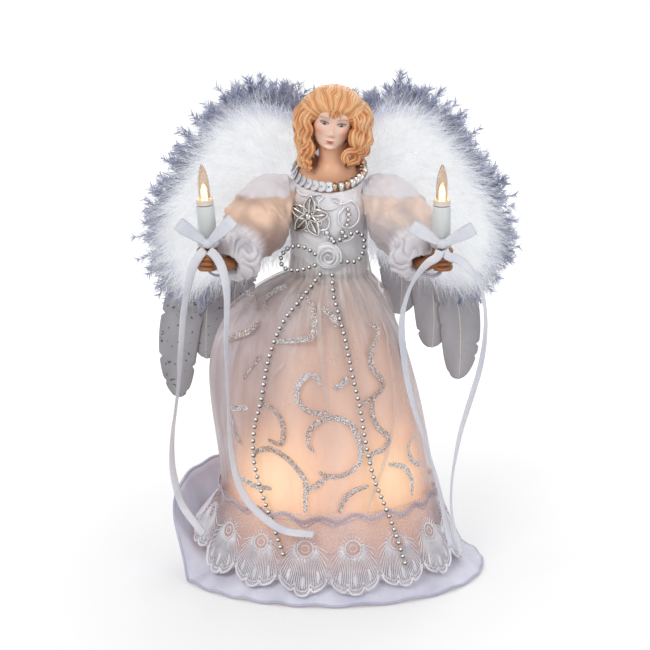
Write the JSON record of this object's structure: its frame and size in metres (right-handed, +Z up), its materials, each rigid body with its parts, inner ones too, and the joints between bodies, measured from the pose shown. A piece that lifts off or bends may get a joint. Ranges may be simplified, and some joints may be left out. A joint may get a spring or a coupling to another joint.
{
  "type": "angel tree topper",
  "caption": "Lighted angel tree topper: doll in a layered lace gown with feathered wings and electric candles on bendable arms, hollow below to stand or slip over a tree tip.",
  "frame": {"origin": "Middle of the part's footprint, on the surface that it stands on.", "axes": "Z is up. The angel faces -Y. X runs to the right as seen from the front."},
  "size_m": [0.1856, 0.114, 0.255],
  "materials": {
    "card": "matt white card",
    "torso_foam": "plain moulded form",
    "white_plastic": "white moulded plastic",
    "peach_satin": "peach satin, lit from inside",
    "organza": "sheer organza with glitter scrolls",
    "lace": "embroidered white lace",
    "white_satin": "white satin with a lilac sheen",
    "painted_porcelain": "painted skin and golden moulded hair",
    "brown_resin": "brown painted resin",
    "white_sequin": "pearly white sequins",
    "silver_metal": "bright silver plate",
    "rose_ribbon": "rolled white ribbon",
    "steel_wire": "plain steel wire",
    "lead_sheath": "pale grey wire sheath",
    "lamp_glass": "clear glass with a warm filament",
    "sheer_ribbon": "sheer white satin ribbon",
    "marabou_down": "fluffy white marabou",
    "silver_tinsel": "blue-silver tinsel",
    "goose_feather": "grey-white feathers"
  },
  "bodies": {
    "figure": {"skirt_cone": "card", "left_wing_board": "card", "right_wing_board": "card", "torso_form": "torso_foam", "tree_socket": "white_plastic", "skirt_lamp_holder_1": "white_plastic", "skirt_lamp_holder_2": "white_plastic", "skirt_lamp_holder_3": "white_plastic", "skirt_lamp_holder_4": "white_plastic", "satin_underskirt": "peach_satin", "organza_overskirt": "organza", "lace_hem": "lace", "satin_flounce": "white_satin", "bodice": "white_satin", "head": "painted_porcelain", "sequin_collar": "white_sequin", "neck_beads": "silver_metal", "brooch": "silver_metal", "filigree": "silver_metal", "left_bead_loop": "silver_metal", "left_bead_string": "silver_metal", "right_bead_loop": "silver_metal", "right_bead_string": "silver_metal", "fabric_rose": "rose_ribbon", "lamp_wiring": "lead_sheath", "left_marabou": "marabou_down", "right_marabou": "marabou_down", "left_tinsel": "silver_tinsel", "right_tinsel": "silver_tinsel", "left_feather_1": "goose_feather", "left_feather_2": "goose_feather", "left_feather_3": "goose_feather", "right_feather_1": "goose_feather", "right_feather_2": "goose_feather", "right_feather_3": "goose_feather"},
    "left_arm": {"left_arm_wire": "steel_wire", "left_sleeve": "white_satin", "left_hand": "brown_resin", "left_candle_lead": "lead_sheath", "left_candle_tube": "white_plastic", "left_ribbon_bow": "sheer_ribbon", "left_ribbon_tail_inner": "sheer_ribbon", "left_ribbon_tail_outer": "sheer_ribbon"},
    "left_candle_bulb": {"left_bulb_base": "white_plastic", "left_bulb_glass": "lamp_glass"},
    "right_arm": {"right_arm_wire": "steel_wire", "right_sleeve": "white_satin", "right_hand": "brown_resin", "right_candle_lead": "lead_sheath", "right_candle_tube": "white_plastic", "right_ribbon_bow": "sheer_ribbon", "right_ribbon_tail_inner": "sheer_ribbon", "right_ribbon_tail_outer": "sheer_ribbon"},
    "right_candle_bulb": {"right_bulb_base": "white_plastic", "right_bulb_glass": "lamp_glass"},
    "skirt_bulb_1": {"skirt_bulb_1": "lamp_glass"},
    "skirt_bulb_2": {"skirt_bulb_2": "lamp_glass"},
    "skirt_bulb_3": {"skirt_bulb_3": "lamp_glass"},
    "skirt_bulb_4": {"skirt_bulb_4": "lamp_glass"}
  },
  "joints": [
    {"name": "left_shoulder", "type": "hinge", "parent": "figure", "child": "left_arm", "pos_m": [-0.0199, 0.001, 0.1958], "axis": [-1, 0, 0], "range_deg": [-10, 15], "deforming": ["left_ribbon_tail_inner", "left_ribbon_tail_outer"]},
    {"name": "left_bulb_pull", "type": "slide", "parent": "left_arm", "child": "left_candle_bulb", "axis": [-0.0698, 0, 0.9976], "range_m": [0, 0.014]},
    {"name": "right_shoulder", "type": "hinge", "parent": "figure", "child": "right_arm", "pos_m": [0.0199, 0.001, 0.1958], "axis": [-1, 0, 0], "range_deg": [-10, 15], "deforming": ["right_ribbon_tail_inner", "right_ribbon_tail_outer"]},
    {"name": "right_bulb_pull", "type": "slide", "parent": "right_arm", "child": "right_candle_bulb", "axis": [0, 0, 1], "range_m": [0, 0.014]},
    {"name": "skirt_bulb_1_pull", "type": "slide", "parent": "figure", "child": "skirt_bulb_1", "axis": [0, 0, 1], "range_m": [0, 0.012]},
    {"name": "skirt_bulb_2_pull", "type": "slide", "parent": "figure", "child": "skirt_bulb_2", "axis": [0, 0, 1], "range_m": [0, 0.012]},
    {"name": "skirt_bulb_3_pull", "type": "slide", "parent": "figure", "child": "skirt_bulb_3", "axis": [0, 0, 1], "range_m": [0, 0.012]},
    {"name": "skirt_bulb_4_pull", "type": "slide", "parent": "figure", "child": "skirt_bulb_4", "axis": [0, 0, 1], "range_m": [0, 0.012]}
  ]
}
